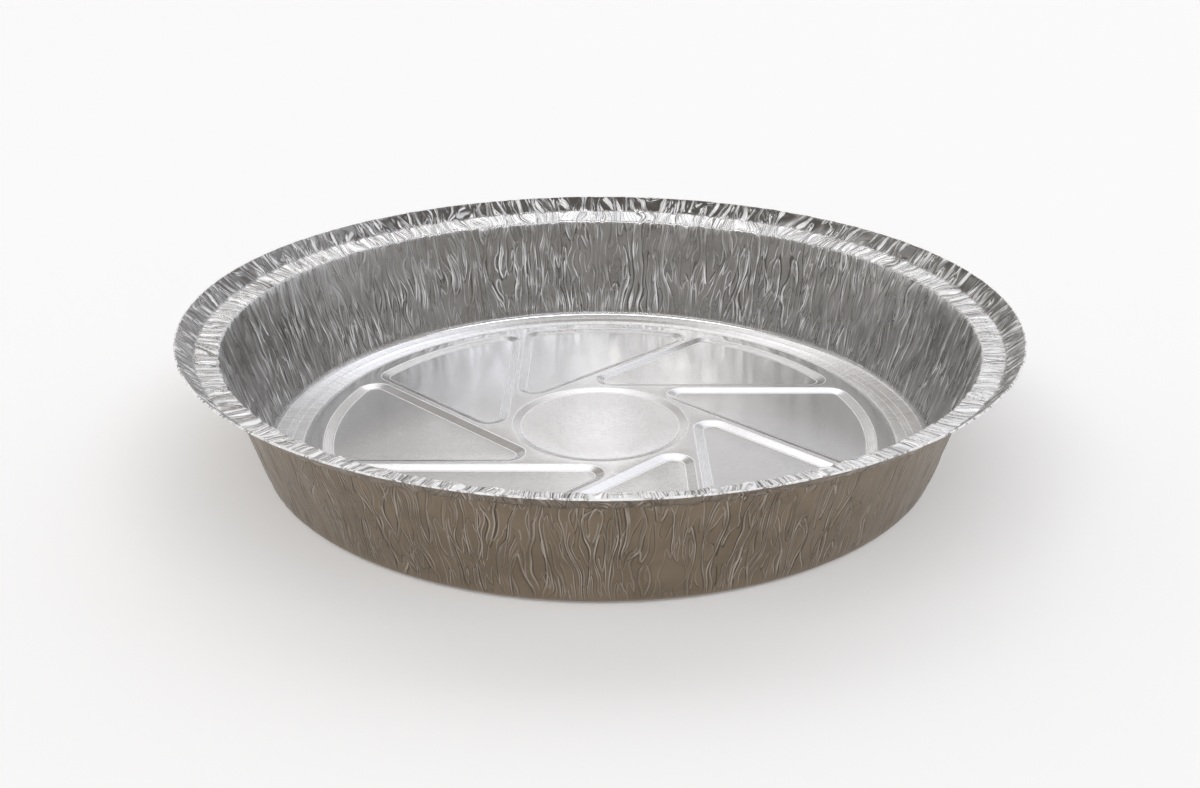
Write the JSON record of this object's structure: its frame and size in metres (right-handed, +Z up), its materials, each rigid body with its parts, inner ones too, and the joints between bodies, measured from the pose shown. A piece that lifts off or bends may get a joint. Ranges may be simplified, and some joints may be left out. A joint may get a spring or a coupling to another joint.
{
  "type": "foil pie pan",
  "caption": "Round, shallow aluminium foil pan with a gathered wall, a narrow ledge for a board lid, a flared lip and a pinwheel pattern of sunk panels in its base.",
  "frame": {"origin": "middle of the pan on the surface that it stands on", "axes": "+Z up through the open mouth; +X and +Y lie in the surface that it stands on, with one straight rib of the base along +Y"},
  "size_m": [0.228, 0.228, 0.0396],
  "materials": {
    "foil": "thin bright aluminium foil, creased in the wall and rim, plain and lightly brushed in the base"
  },
  "bodies": {
    "root": {"pan": "foil"}
  },
  "joints": []
}
